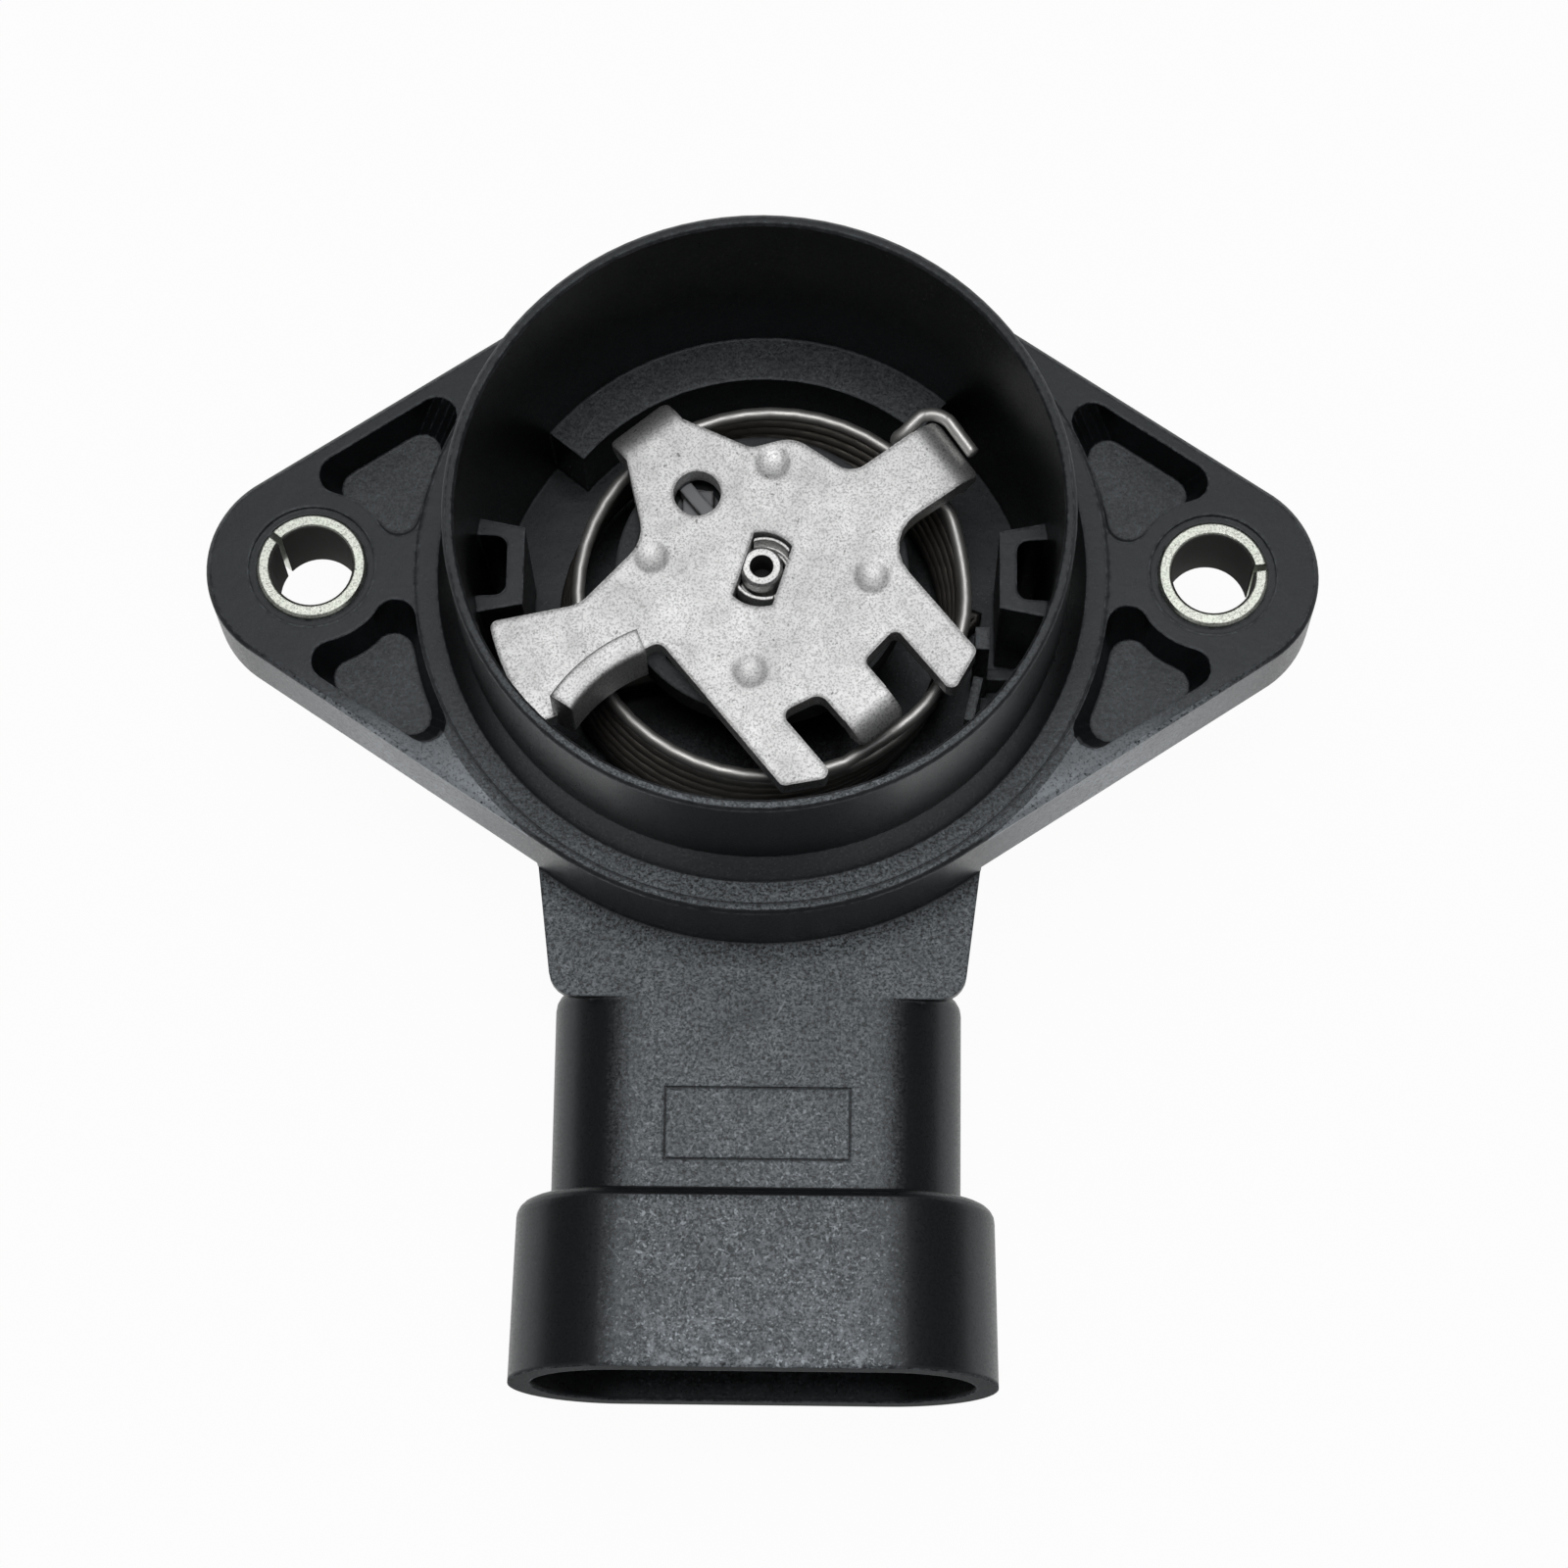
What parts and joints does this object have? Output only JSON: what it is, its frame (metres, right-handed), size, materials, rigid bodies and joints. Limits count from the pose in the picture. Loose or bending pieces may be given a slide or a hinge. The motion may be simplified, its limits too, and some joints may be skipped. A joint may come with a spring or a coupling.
{
  "type": "throttle position sensor",
  "caption": "Two-lug flanged rotary position sensor with an open pilot cup, a sprung drive plate and an oval side connector.",
  "frame": {"origin": "on the rotor axis at the flange's mating face, midway between the two fixing holes", "axes": "+Z along the rotor axis out of the cup, towards the throttle body; +X through the lugs; the connector points to -Y"},
  "size_m": [0.0816, 0.0839, 0.0353],
  "materials": {
    "housing_plastic": "fine moulded grain",
    "cover_plastic": "fine moulded grain",
    "rotor_plastic": "moulded",
    "bush_steel": "zinc plated",
    "plate_steel": "satin stamped",
    "spring_steel": "bright drawn",
    "spindle_steel": "ground",
    "bearing_bronze": "sintered",
    "washer_nylon": "plain",
    "seal_rubber": "matt",
    "board_ceramic": "matt ceramic",
    "terminal_tin": "tin plated",
    "wiper_metal": "bright"
  },
  "bodies": {
    "root": {"housing": "housing_plastic", "bush_left": "bush_steel", "bush_right": "bush_steel", "bearing_bush": "bearing_bronze", "rear_cover": "cover_plastic", "cover_seal": "seal_rubber", "sensor_board": "board_ceramic", "terminal_1": "terminal_tin", "terminal_2": "terminal_tin", "terminal_3": "terminal_tin", "terminal_4": "terminal_tin", "terminal_5": "terminal_tin", "terminal_6": "terminal_tin", "return_spring": "spring_steel"},
    "rotor_assembly": {"drive_plate": "plate_steel", "rotor": "rotor_plastic", "spindle": "spindle_steel", "thrust_washer": "washer_nylon", "retaining_clip": "spindle_steel", "wiper_carrier": "washer_nylon", "wiper_inner": "wiper_metal", "wiper_outer": "wiper_metal"}
  },
  "joints": [
    {"name": "rotor_turn", "type": "hinge", "parent": "root", "child": "rotor_assembly", "pos_m": [0, 0, 0], "axis": [0, 0, 1], "range_deg": [0, 90], "stiffness_Nm_per_rad": 0.012, "springref_deg": -57.3, "deforming": ["return_spring"]}
  ]
}
